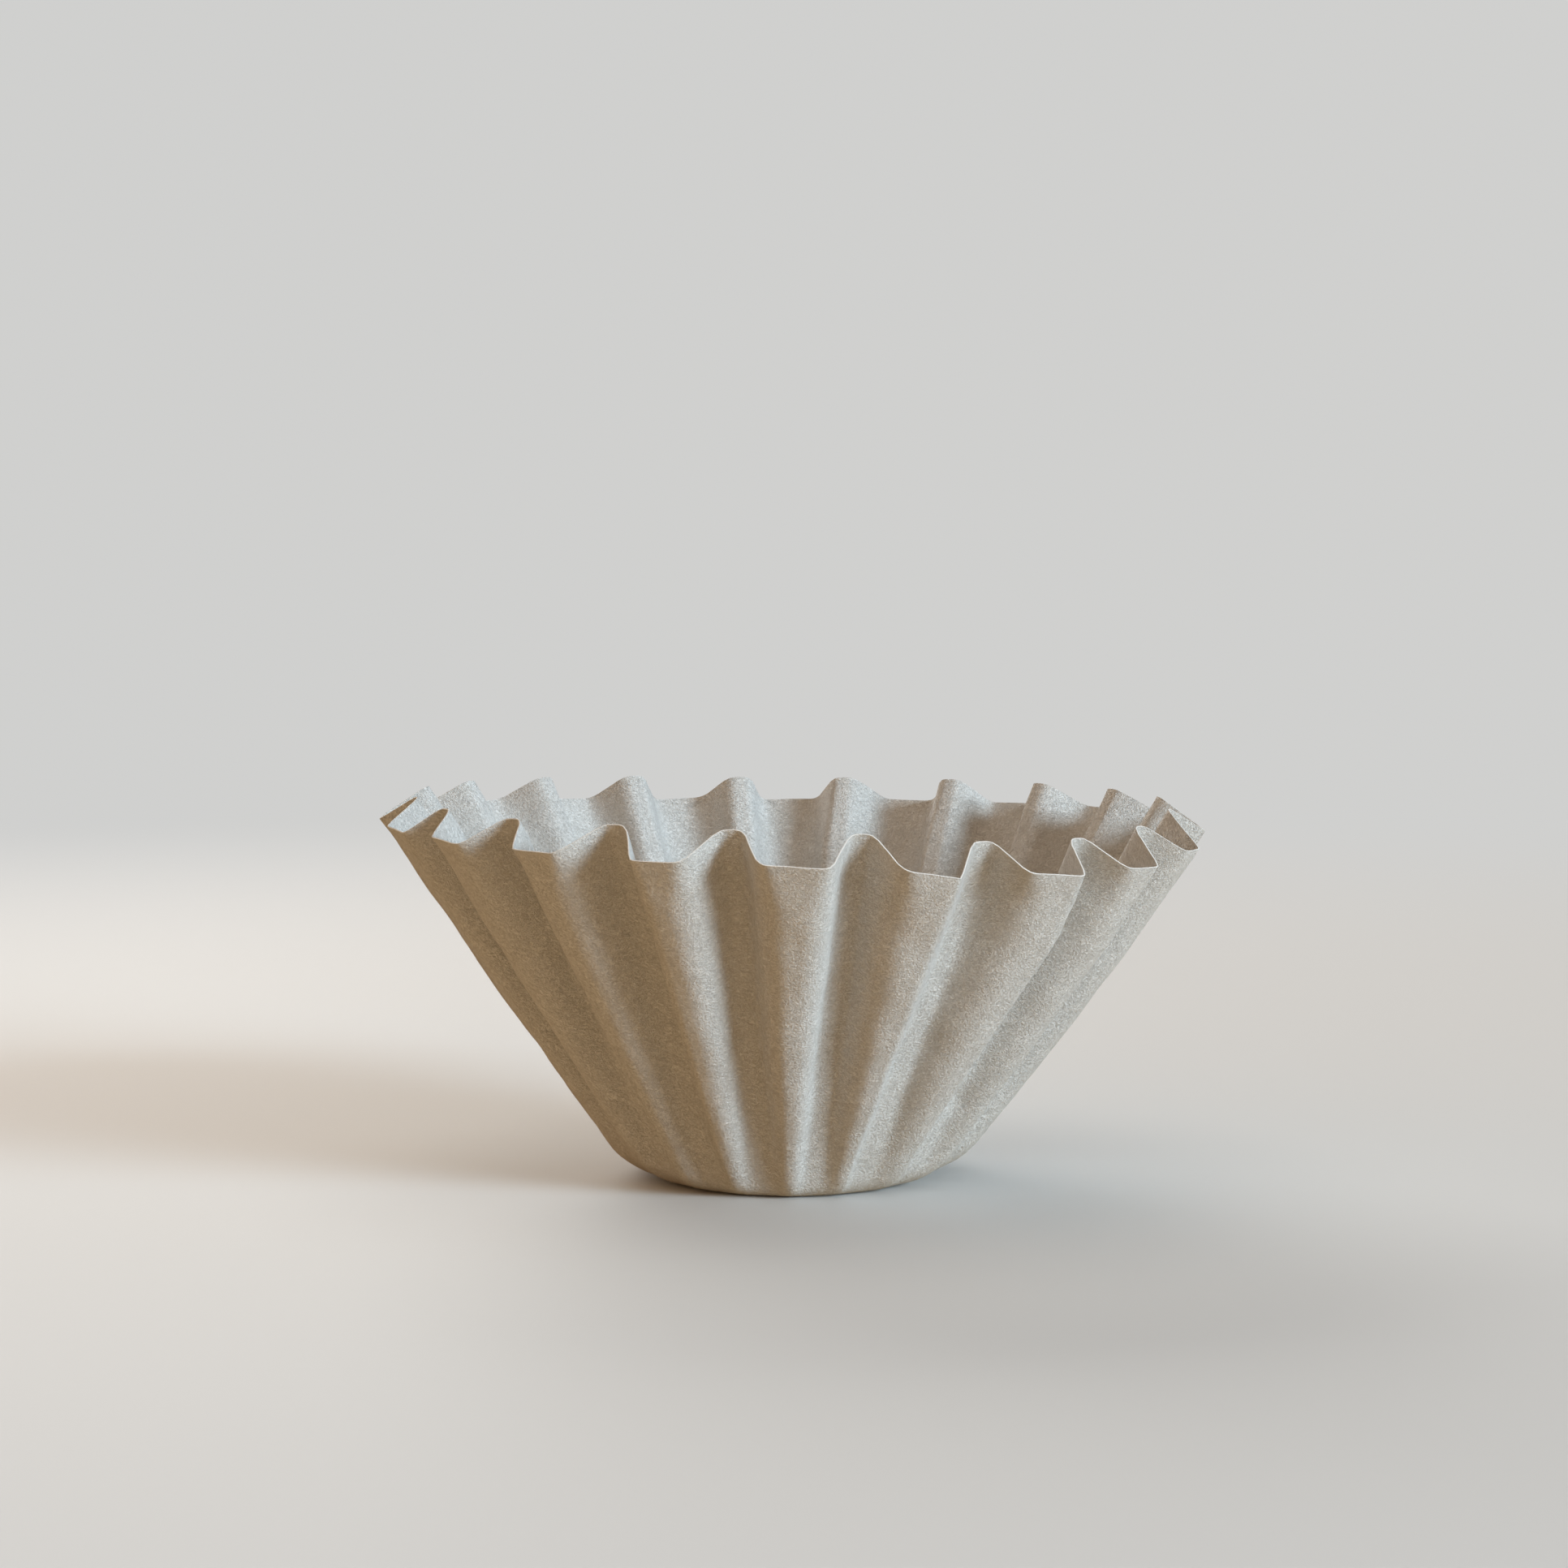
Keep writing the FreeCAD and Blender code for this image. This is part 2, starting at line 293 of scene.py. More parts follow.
# Some flutes bow sideways between heel and cut edge: degrees at the widest place, to the right,
# or to the left with a minus.
RIDGE_BOWS = [0.0, 0.0, 3.0, 1.9, 0.5, -0.3, 0.4, 0.0, -0.4, 0.3,
              0.5, 0.0, -0.5, 0.3, 0.0, 0.3, 0.0, 0.0, 0.0, 0.0]
VALLEY_BOWS = [0.0, 1.7, 1.8, 0.8, 0.0, 0.2, 0.2, -0.3, 0.0, 0.4,
               0.2, -0.2, 0.0, 0.2, 0.2, 0.0, 0.0, 0.0, 0.0, 0.0]
# How much lower the right corner of a ridge is than its left one, at the cut edge.
RIDGE_TILTS = [0.5, 1.5, 0.9, 0.3, 0.3, -0.2, 0.2, 0.0, 0.3, -0.2,
               0.1, 0.3, -0.3, 0.2, 0.0, 0.3, 0.5, 0.4, 0.2, 0.2]
# How far a ridge's face is turned to the left, in degrees, by the pull of its neighbours.
RIDGE_TWISTS = [2.5, 6.0, 5.0, 4.0, 1.5, -2.0, 3.0, 0.0, 2.0, -3.0,
                1.0, 3.0, -2.0, 2.0, 0.0, 2.0, -2.0, 1.0, 3.0, 5.0]
VALLEY_WIDTH = 3.4
RIM_SHIFT_RIGHT = 0.2

# The wall is a little fuller halfway up than a straight line, most on the right.
BELLY, BELLY_RIGHT = 0.7, 0.8
# The valleys are pressed in a little deeper halfway up, where the ridges are fuller.
VALLEY_SINK = 0.8
# The last millimetres lean out a touch.
FLARE, FLARE_LENGTH = 0.28, 6.0

# A ridge gets much narrower towards the heel, while a valley gets a little wider.
# First the distance along the paper, then the share of the width at the cut edge. Below the
# first distance both keep the angle that they have there.
WIDTH_PLACES = [32.0, 45.0, 60.0, 75.0, DISC_RADIUS]
RIDGE_WIDTH_SHARES = [0.26, 0.45, 0.64, 0.82, 1.0]
VALLEY_WIDTH_SHARES = [1.2, 1.2, 1.15, 1.1, 1.0]

# %% Rows down the wall and bands round it
HEEL_ROWS, WALL_ROWS = 13, 43
FIRST_ROW, HEEL_END = 19.0, 31.0
WALL_START = BASE_RADIUS + 4.0
# Powers that move the widest place of belly and bow up the wall, and one that makes the belly
# fuller.
BELLY_UP, BOW_UP, BELLY_FULL = 1.3, 2.4, 0.6
rows = np.concatenate([
    np.linspace(FIRST_ROW, HEEL_END, HEEL_ROWS, endpoint=False),
    np.linspace(HEEL_END, DISC_RADIUS, WALL_ROWS + 1)])
wall_share = np.clip((rows - WALL_START) / (DISC_RADIUS - WALL_START), 0, 1)
belly_part = np.maximum(np.sin(math.pi * wall_share ** BELLY_UP), 0.0) ** BELLY_FULL
bow_part = np.sin(math.pi * wall_share ** BOW_UP)
flare = FLARE * np.maximum((rows - DISC_RADIUS + FLARE_LENGTH) / FLARE_LENGTH, 0.0) ** 2

UP = np.array([0.0, 0.0, 1.0])


def compass(angle):
    """Outward and sideways unit vectors; angle 0 faces the camera, and it grows to the right."""
    angle = np.asarray(angle, dtype=float)
    flat = np.zeros_like(angle)
    outward = np.stack([np.sin(angle), -np.cos(angle), flat], axis=-1)
    sideways = np.stack([np.cos(angle), np.sin(angle), flat], axis=-1)
    return outward, sideways


def fold_band(band):
    """For each row: angle, half width as an angle, sideways vector and middle of a band."""
    flute, is_valley = divmod(band % BANDS, 2)
    rim_turn = (VALLEY_TURNS if is_valley else RIDGE_TURNS)[flute]
    heel_turn = (VALLEY_HEEL_TURNS if is_valley else RIDGE_HEEL_TURNS)[flute]
    bow = (VALLEY_BOWS if is_valley else RIDGE_BOWS)[flute]
    lift = (VALLEY_LIFTS if is_valley else RIDGE_LIFTS)[flute]
    width = VALLEY_WIDTH if is_valley else RIDGE_WIDTHS[flute]
    tilt = 0.0 if is_valley else RIDGE_TILTS[flute]
    twist = 0.0 if is_valley else math.radians(RIDGE_TWISTS[flute])
    straight_on = math.radians(band * 180 / FLUTES)
    turn = heel_turn + (rim_turn - heel_turn) * wall_share + bow * bow_part
    angle = straight_on + np.radians(turn)
    shares = VALLEY_WIDTH_SHARES if is_valley else RIDGE_WIDTH_SHARES
    half = width / 2 * np.interp(rows, WIDTH_PLACES, shares) / np.maximum(rows, WIDTH_PLACES[0])
    slope, heel = (VALLEY_SLOPE, VALLEY_HEEL) if is_valley else (RIDGE_SLOPE, RIDGE_HEEL)
    out, up = fold_line(rows, slope, heel, straight_on)
    belly = BELLY + BELLY_RIGHT * max(math.sin(straight_on), 0.0) - VALLEY_SINK * is_valley
    out = out + belly * belly_part + flare
    outward, sideways = compass(angle)
    middle = out[:, None] * outward + up[:, None] * UP
    middle[:, 2] += lift * wall_share
    middle[:, 0] += RIM_SHIFT_RIGHT * wall_share
    sideways = sideways + math.tan(twist) * wall_share[:, None] * outward
    sideways = sideways - (tilt * wall_share / (2 * half * rows))[:, None] * UP
    return angle, half, sideways, middle


bands = [fold_band(band) for band in range(-1, BANDS + 2)]
print("fold bands:", BANDS, " rows:", len(rows))


# %% [markdown]
# ## The folded sheet
#
# Between the fold bands the paper runs straight across, and at each band's edges it bends. Filter
# paper is soft, so the bends are wide: tight only at the cut edge, rounder further down, until a
# ridge is one smooth rib near the heel. A bend is made by averaging the straight pieces over a
# short length of paper on both sides of the corner. For two straight pieces that average has a
# plain formula, so each point is placed at once, and no modifier has to guess. How much paper a
# bend takes is in two tables, one down the wall and one round it, because a fold that was pressed
# hard against its neighbours is sharper than one that stood free.

# %% Points across one span, from one band's middle to the next
RIDGE_STEPS, FLANK_STEPS, VALLEY_STEPS = 7, 6, 5


def corner_angles(band):
    """Left and right corner of a band for each row, as angles of the flat round."""
    angle, half, _, _ = bands[band + 1]
    return angle - half, angle + half


def span_angles(band):
    """Angles of the flat round for the columns of one span, its last point left out."""
    start, end = bands[band + 1][0][-1], bands[band + 2][0][-1]
    leave, arrive = corner_angles(band)[1][-1], corner_angles(band + 1)[0][-1]
    first, last = (RIDGE_STEPS, VALLEY_STEPS) if band % 2 == 0 else (VALLEY_STEPS, RIDGE_STEPS)
    return np.concatenate([
        np.linspace(start, leave, first, endpoint=False),
        np.linspace(leave, arrive, FLANK_STEPS, endpoint=False),
        np.linspace(arrive, end, last, endpoint=False)])


columns = np.concatenate([span_angles(band) for band in range(BANDS)])
span_of_column = np.repeat(np.arange(BANDS), RIDGE_STEPS + FLANK_STEPS + VALLEY_STEPS)
print("columns round the cup:", len(columns))


# %% The straight pieces and the bends between them
# First the distance along the paper, then the length of a bend there.
BEND_PLACES = [32.0, 45.0, 60.0, 70.0, 84.0, 89.0, DISC_RADIUS]
VALLEY_REACHES = [0.8, 0.9, 0.9, 1.0, 1.1, 1.2, 1.4]
RIDGE_REACHES = [1.3, 2.3, 3.1, 3.7, 4.1, 3.1, 1.7]
# How wide each ridge's left and right bends are, compared with that.
LEFT_BENDS = [1.05, 1.1, 1.0, 0.9, 1.0, 0.8, 1.1, 0.9, 0.7, 1.0,
              0.8, 1.1, 0.9, 1.0, 0.7, 1.0, 0.8, 0.6, 0.45, 0.45]
RIGHT_BENDS = [0.85, 0.35, 0.6, 0.7, 0.7, 0.9, 0.7, 1.0, 0.8, 0.9,
               1.0, 0.7, 1.1, 0.8, 0.9, 0.8, 0.8, 0.9, 0.9, 0.9]


def bend_reach(band, side):
    """Length of paper that a bend takes on each side of its corner, for each row."""
    flute, is_valley = divmod(band % BANDS, 2)
    if is_valley:
        return np.interp(rows, BEND_PLACES, VALLEY_REACHES)
    share = (LEFT_BENDS if side < 0 else RIGHT_BENDS)[flute]
    return share * np.interp(rows, BEND_PLACES, RIDGE_REACHES)


def corner_point(band, side):
    """The unrounded corner line of a band: side is -1 for left and 1 for right."""
    _, half, sideways, middle = bands[band + 1]
    return middle + side * (rows * half)[:, None] * sideways


def flank_slope(band):
    """Change of place per millimetre of paper on the flank that follows a band."""
    leave, arrive = corner_angles(band)[1], corner_angles(band + 1)[0]
    change = corner_point(band + 1, -1) - corner_point(band, 1)
    return change / (rows * (arrive - leave))[:, None]


flank_slopes = [flank_slope(band) for band in range(BANDS + 1)] + [flank_slope(-1)]


def folded_column(angle, band):
    """All rows of the wall at one angle of the flat round, in the span that follows a band."""
    leave, arrive = corner_angles(band)[1], corner_angles(band + 1)[0]
    on_flank = corner_point(band, 1) + flank_slopes[band] * (rows * (angle - leave))[:, None]
    on_band = [middle + (rows * (angle - centre))[:, None] * sideways
               for centre, _, sideways, middle in bands[band + 1:band + 3]]
    point = np.where((angle <= leave)[:, None], on_band[0], on_flank)
    point = np.where((angle >= arrive)[:, None], on_band[1], point)
    for near in (band, band + 1):
        left, right = corner_angles(near)
        sideways = bands[near + 1][2]
        for side, corner, turn in ((-1, left, sideways - flank_slopes[near - 1]),
                                   (1, right, flank_slopes[near] - sideways)):
            reach = bend_reach(near, side)
            inside = np.maximum(reach - np.abs(rows * (angle - corner)), 0.0)
            point = point + turn * (inside ** 2 / (4 * reach))[:, None]
    return point


folded = np.stack([folded_column(angle, band)
                   for angle, band in zip(columns, span_of_column)], axis=1)
print("folded wall:", folded.shape)

# %% [markdown]
# At the heel the flutes die out: the flat base knows nothing of them, and they grow over the
# first centimetre of wall. So the lowest rows are mixed with a plain bowl, in which ridge and
# valley differ only by a soft wave.

# %% Mix with a plain bowl at the heel
FADE_START_ROW, FADE_END_ROW = 21.0, 30.5


def smooth_step(value):
    """0 to 1 with a soft start and end."""
    value = np.clip(value, 0.0, 1.0)
    return value * value * (3 - 2 * value)


def bowl_column(angle, band):
    """The wall at one angle if it had no bends, only a wave between ridge and valley."""
    start, end = bands[band + 1][0], bands[band + 2][0]
    way = smooth_step((angle - start) / (end - start))
    valley_part = way if band % 2 == 0 else 1 - way
    ridge_out, ridge_up = fold_line(rows, RIDGE_SLOPE, RIDGE_HEEL, angle)
    valley_out, valley_up = fold_line(rows, VALLEY_SLOPE, VALLEY_HEEL, angle)
    out = ridge_out + (valley_out - ridge_out) * valley_part
    up = ridge_up + (valley_up - ridge_up) * valley_part
    return out[:, None] * compass(angle)[0] + up[:, None] * UP


bowl = np.stack([bowl_column(angle, band)
                 for angle, band in zip(columns, span_of_column)], axis=1)
flute_part = smooth_step((rows - FADE_START_ROW) / (FADE_END_ROW - FADE_START_ROW))[:, None, None]
sheet = bowl + (folded - bowl) * flute_part
print("lowest and highest point, mm:", round(sheet[..., 2].min(), 3), round(sheet[..., 2].max(), 2))


# %% [markdown]
# ## Small unevenness
#
# Paper that was wet pulp and then pressed is never quite even. It has shallow cockles a few
# millimetres across and finer ones between them. They are real shape, pushed in and out along
# the sheet's own normal, and so is the shallow dent low on the right, where something has
# pressed against the cup. What is smaller than that belongs to the finish.

# %% Normals of the sheet
def sheet_normals(points):
    """Outward unit normals of a grid of rows and columns that closes round the columns."""
    across = np.roll(points, -1, axis=1) - np.roll(points, 1, axis=1)
    along = np.gradient(points, axis=0)
    normal = np.cross(across, along)
    return normal / np.linalg.norm(normal, axis=2, keepdims=True)


normals = sheet_normals(sheet)
print("mean outward part of the normals:", round(float(-normals[:, 0, 1].mean()), 2))

# %% Cockles
COCKLES = ((9.0, 0.30), (3.6, 0.09))
COCKLE_ORIGIN = Vector((31.7, 11.3, 5.9))
COCKLES_GROW_OVER = 6.0


def cockle_height(point):
    """Sum of soft noise at each cockle size, in millimetres."""
    place = Vector(point)
    return sum(height * noise.noise(place / size + COCKLE_ORIGIN) for size, height in COCKLES)


cockles = np.array([cockle_height(point) for point in sheet.reshape(-1, 3)])
cockles = cockles.reshape(sheet.shape[:2])
cockles *= smooth_step((rows - BASE_RADIUS) / COCKLES_GROW_OVER)[:, None]
print("cockles up to, mm:", round(float(np.abs(cockles).max()), 3))

# %% Dents
# Each dent: angle in degrees, distance along the paper, half width, half height, depth.
DENTS = ((45.6, 42.4, 2.3, 1.9, 0.6),)


def dent_depth(angle, along, half_width, half_height, depth):
    """A soft bowl pressed into the sheet, in millimetres for each point of it."""
    across = rows[:, None] * (columns - math.radians(angle))[None, :] / half_width
    down = (rows[:, None] - along) / half_height
    return depth * smooth_step(1 - np.sqrt(across ** 2 + down ** 2) / 2)


dents = sum(dent_depth(*dent) for dent in DENTS)
sheet = sheet + normals * (cockles - dents)[..., None]
normals = sheet_normals(sheet)
print("dents up to, mm:", round(float(dents.max()), 3))


# %% [markdown]
# ## One mesh for the whole sheet
#
# The sheet has an outer skin, an inner skin one paper thickness further in, and a narrow cut
# edge that joins them. It could be one skin with a Solidify modifier, but then the cut edge would
# follow the modifier's idea of a corner. Here both skins are points of their own, so the edge is
# exactly as wide as the paper. The wall needs 720 columns and the middle of the base only a few,
# so each ring of the base has half as many points as the one round it.

# %% Inner skin, cut edge and base
# The middle of the cut edge stands out by this much, as pressed and cut paper does.
EDGE_SWELL = 0.04
outer = sheet
inner = sheet - normals * PAPER_THICKNESS
rim_outward = sheet[-1] - sheet[-2]
rim_outward /= np.linalg.norm(rim_outward, axis=1, keepdims=True)
edge_row = (outer[-1] + inner[-1]) / 2 + rim_outward * EDGE_SWELL

# Rings of the base from the outside in: how many points, and the radius.
BASE_RINGS = ((360, 16.0), (180, 11.8), (90, 7.6), (45, 3.6))
BASE_DOME = 0.25


def base_height(radius):
    """The base is pressed flat and lifts a touch in the middle."""
    return BASE_DOME * (1 - (radius / BASE_RADIUS) ** 2) ** 2


# %% Collect points, flat places and faces
points, flat_places, faces = [], [], []


def add_ring(ring_points, radius, angles):
    """Adds one closed ring and keeps where each of its points lies in the flat round."""
    first = len(points)
    points.extend(map(tuple, ring_points))
    flat_places.extend((radius * math.sin(a), -radius * math.cos(a)) for a in angles)
    return list(range(first, first + len(ring_points)))


def join_rings(low, high, outside):
    """Quads between two rings of equal count; outside says which way they face."""
    for here in range(len(low)):
        after = (here + 1) % len(low)
        quad = (low[here], low[after], high[after], high[here])
        faces.append(quad if outside else quad[::-1])


def halve_rings(wide, narrow, outside):
    """Joins a ring to one with half as many points nearer to the centre."""
    for here in range(len(narrow)):
        after = (here + 1) % len(narrow)
        a, b, c = wide[2 * here], wide[2 * here + 1], wide[(2 * here + 2) % len(wide)]
        for triangle in ((narrow[here], b, a), (narrow[here], narrow[after], b),
                         (narrow[after], c, b)):
            faces.append(triangle if outside else triangle[::-1])


def make_skin(skin, outside):
    """One skin from the middle of the base to the cut edge; gives its ring at the cut edge."""
    lift = 0.0 if outside else PAPER_THICKNESS
    rings = [add_ring(skin[row], rows[row], columns) for row in range(len(rows))]
    for low, high in zip(rings, rings[1:]):
        join_rings(low, high, outside)
    wide, angles = rings[0], columns
    for count, radius in BASE_RINGS:
        angles = angles[::2]
        height = base_height(radius) + lift
        narrow = add_ring([radius * compass(a)[0] + height * UP for a in angles], radius, angles)
        halve_rings(wide, narrow, outside)
        wide = narrow
        if len(wide) != count:
            raise ValueError("a base ring has the wrong number of points")
    centre = add_ring([(0.0, 0.0, base_height(0) + lift)], 0.0, [0.0])[0]
    for here in range(len(wide)):
        triangle = (centre, wide[here], wide[(here + 1) % len(wide)])
        faces.append(triangle[::-1] if outside else triangle)
    return rings[-1]


outer_rim = make_skin(outer, True)
inner_rim = make_skin(inner, False)
skin_faces = len(faces)
edge_ring = add_ring(edge_row, DISC_RADIUS, columns)
join_rings(outer_rim, edge_ring, True)
join_rings(edge_ring, inner_rim, True)
print("points:", len(points), " faces:", len(faces))

# %% The mesh object
filter_mesh = bpy.data.meshes.new("filter_sheet")
filter_mesh.from_pydata([tuple(v * MM for v in p) for p in points], [], faces)
filter_mesh.update()
filter_sheet = bpy.data.objects.new("filter_sheet", filter_mesh)
bpy.context.scene.collection.objects.link(filter_sheet)

flat_map = filter_mesh.uv_layers.new(name="flat_round")
loop_points = np.empty(len(filter_mesh.loops), dtype=np.int32)
filter_mesh.loops.foreach_get("vertex_index", loop_points)
flat_array = np.array(flat_places) / (2 * DISC_RADIUS) + 0.5
flat_map.data.foreach_set("uv", flat_array[loop_points].ravel())

filter_mesh.polygons.foreach_set("use_smooth", [True] * len(filter_mesh.polygons))
filter_mesh.polygons.foreach_set(
    "material_index", [0] * skin_faces + [1] * (len(filter_mesh.polygons) - skin_faces))
rim_points = set(outer_rim) | set(inner_rim)
for edge in filter_mesh.edges:
    a, b = edge.vertices
    if a in rim_points and b in rim_points:
        edge.use_edge_sharp = True
filter_mesh.update()
triangles = sum(len(polygon.vertices) - 2 for polygon in filter_mesh.polygons)
print("triangles in the sheet:", triangles)


# %% [markdown]
# ## The finish: filter paper
#
# Filter paper is unglazed. Close up it shows short fibres, about a millimetre long and a quarter
# of one apart, lying mostly along the direction in which the paper was made, a fine tooth between
# them, and clouds a few millimetres wide where the pulp is thicker. It is matt, with a faint fuzz
# that catches light at grazing angles. Both the skins and the cut edge are this paper, so fibres
# and clouds are one node group, placed twice. Its coordinates are the flat round, so the fibres
# follow the sheet over ridge and valley as they do on a real filter.

# %% Node group for fibres and clouds
def group_socket(tree, name, kind, is_input, value=None):
    """A named socket on the outside of a node group."""
    socket = tree.interface.new_socket(
        name=name, in_out="INPUT" if is_input else "OUTPUT", socket_type=kind)
    if value is not None:
        socket.default_value = value


fibre_group = bpy.data.node_groups.new("paper_fibres", "ShaderNodeTree")
group_socket(fibre_group, "Flat Place", "NodeSocketVector", True)
group_socket(fibre_group, "Paper Colour", "NodeSocketColor", True, (0.86, 0.84, 0.79, 1.0))
group_socket(fibre_group, "Shade Colour", "NodeSocketColor", True, (0.74, 0.70, 0.62, 1.0))
group_socket(fibre_group, "Fibre Contrast", "NodeSocketFloat", True, 0.25)
group_socket(fibre_group, "Cloud Contrast", "NodeSocketFloat", True, 0.25)
group_socket(fibre_group, "Colour", "NodeSocketColor", False)
group_socket(fibre_group, "Height", "NodeSocketFloat", False)
group_socket(fibre_group, "Roughness", "NodeSocketFloat", False)

group_in = add_node(fibre_group, "NodeGroupInput")
group_out = add_node(fibre_group, "NodeGroupOutput")


def math_node(tree, operation, first, second):
    """A Math node from two sockets or numbers; gives its output."""
    node = add_node(tree, "ShaderNodeMath", operation=operation)
    for socket, value in zip(node.inputs, (first, second)):
        if isinstance(value, (int, float)):
            socket.default_value = value
        else:
            tree.links.new(value, socket)
    return node.outputs["Value"]


# %% A slow wander of the fibres
# Fibres are not straight, so the place is pushed about a little before they are drawn.
FLAT_WIDTH = 2 * DISC_RADIUS
WANDER_SIZE, WANDER_REACH = 1.5, 0.20
wander = add_node(fibre_group, "ShaderNodeTexNoise", noise_dimensions="2D")
wander.inputs["Scale"].default_value = FLAT_WIDTH / WANDER_SIZE
wander.inputs["Detail"].default_value = 1.0
wander_middle = add_node(fibre_group, "ShaderNodeVectorMath", operation="SUBTRACT")
wander_middle.inputs[1].default_value = (0.5, 0.5, 0.5)
wander_push = add_node(fibre_group, "ShaderNodeVectorMath", operation="SCALE")
wander_push.inputs["Scale"].default_value = 2 * WANDER_REACH / FLAT_WIDTH
wandered = add_node(fibre_group, "ShaderNodeVectorMath", operation="ADD")
fibre_group.links.new(group_in.outputs["Flat Place"], wander.inputs["Vector"])
fibre_group.links.new(wander.outputs["Color"], wander_middle.inputs[0])
fibre_group.links.new(wander_middle.outputs["Vector"], wander_push.inputs[0])
fibre_group.links.new(wander_push.outputs["Vector"], wandered.inputs[0])
fibre_group.links.new(group_in.outputs["Flat Place"], wandered.inputs[1])


# %% Fibres: thin lines from stretched noise, in three directions
# A fibre is as wide as the noise takes to move this far from its middle value.
FIBRE_WIDTH = 0.10


def fibre_layer(turn_degrees, fibre_length, fibre_gap, seed):
    """Thin lines where stretched noise passes its middle value; sizes in millimetres."""
    turned = add_node(fibre_group, "ShaderNodeMapping", vector_type="POINT")
    turned.inputs["Location"].default_value = (seed, seed * 0.37, 0.0)
    turned.inputs["Rotation"].default_value = (0.0, 0.0, math.radians(turn_degrees))
    stretched = add_node(fibre_group, "ShaderNodeMapping", vector_type="POINT")
    stretched.inputs["Scale"].default_value = (
        FLAT_WIDTH / fibre_length, FLAT_WIDTH / fibre_gap, 1.0)
    grain = add_node(fibre_group, "ShaderNodeTexNoise", noise_dimensions="2D")
    grain.inputs["Scale"].default_value = 1.0
    grain.inputs["Detail"].default_value = 1.0
    grain.inputs["Roughness"].default_value = 0.5
    fibre_group.links.new(wandered.outputs["Vector"], turned.inputs["Vector"])
    fibre_group.links.new(turned.outputs["Vector"], stretched.inputs["Vector"])
    fibre_group.links.new(stretched.outputs["Vector"], grain.inputs["Vector"])
    off_middle = math_node(fibre_group, "SUBTRACT", grain.outputs["Fac"], 0.5)
    distance = math_node(fibre_group, "ABSOLUTE", off_middle, 0.0)
    ramp = add_node(fibre_group, "ShaderNodeMapRange", interpolation_type="SMOOTHSTEP")
    ramp.inputs["From Min"].default_value = 0.0
    ramp.inputs["From Max"].default_value = FIBRE_WIDTH
    ramp.inputs["To Min"].default_value = 1.0
    ramp.inputs["To Max"].default_value = 0.0
    fibre_group.links.new(distance, ramp.inputs["Value"])
    return ramp.outputs["Result"]


# Fewer fibres lie across the sheet's own direction, so those layers count for less.
CROSSING_SHARE = 0.7
lying = fibre_layer(turn_degrees=4, fibre_length=1.2, fibre_gap=0.27, seed=3.1)
leaning_left = fibre_layer(turn_degrees=33, fibre_length=0.9, fibre_gap=0.28, seed=7.7)
leaning_right = fibre_layer(turn_degrees=-38, fibre_length=0.9, fibre_gap=0.30, seed=12.9)
crossing = math_node(fibre_group, "MAXIMUM", leaning_left, leaning_right)
crossing = math_node(fibre_group, "MULTIPLY", crossing, CROSSING_SHARE)
fibres = math_node(fibre_group, "MAXIMUM", lying, crossing)

# %% Clouds and fine tooth
CLOUD_SIZE, TOOTH_SIZE = 3.4, 0.38
clouds = add_node(fibre_group, "ShaderNodeTexNoise", noise_dimensions="2D")
clouds.inputs["Scale"].default_value = FLAT_WIDTH / CLOUD_SIZE
clouds.inputs["Detail"].default_value = 3.0
clouds.inputs["Roughness"].default_value = 0.6
tooth = add_node(fibre_group, "ShaderNodeTexNoise", noise_dimensions="2D")
tooth.inputs["Scale"].default_value = FLAT_WIDTH / TOOTH_SIZE
tooth.inputs["Detail"].default_value = 1.0
tooth.inputs["Roughness"].default_value = 0.6
for texture in (clouds, tooth):
    fibre_group.links.new(group_in.outputs["Flat Place"], texture.inputs["Vector"])

# %% Colour, height and roughness out of the group
TOOTH_HIGH, TOOTH_HEIGHT, CLOUD_HEIGHT = 0.85, 1.3, 0.6
LEAST_ROUGH, MOST_ROUGH = 0.86, 0.98

cloud_part = math_node(
    fibre_group, "MULTIPLY", clouds.outputs["Fac"], group_in.outputs["Cloud Contrast"])
no_fibre = math_node(fibre_group, "SUBTRACT", 1.0, fibres)
fibre_part = math_node(fibre_group, "MULTIPLY", no_fibre, group_in.outputs["Fibre Contrast"])
tooth_dark = math_node(fibre_group, "SUBTRACT", TOOTH_HIGH, tooth.outputs["Fac"])
tooth_shade = math_node(fibre_group, "MULTIPLY", tooth_dark, group_in.outputs["Fibre Contrast"])
shade_part = math_node(fibre_group, "ADD", cloud_part, fibre_part)
shade_part = math_node(fibre_group, "ADD", shade_part, tooth_shade)
paper_mix = add_node(fibre_group, "ShaderNodeMix", data_type="RGBA")
fibre_group.links.new(shade_part, paper_mix.inputs["Factor"])
fibre_group.links.new(group_in.outputs["Paper Colour"], paper_mix.inputs[MIX_FIRST])
fibre_group.links.new(group_in.outputs["Shade Colour"], paper_mix.inputs[MIX_SECOND])
fibre_group.links.new(paper_mix.outputs[MIX_RESULT], group_out.inputs["Colour"])

tooth_part = math_node(fibre_group, "MULTIPLY", tooth.outputs["Fac"], TOOTH_HEIGHT)
fibre_height = math_node(fibre_group, "ADD", fibres, tooth_part)
cloud_height = math_node(fibre_group, "MULTIPLY", clouds.outputs["Fac"], CLOUD_HEIGHT)
total_height = math_node(fibre_group, "ADD", fibre_height, cloud_height)
fibre_group.links.new(total_height, group_out.inputs["Height"])

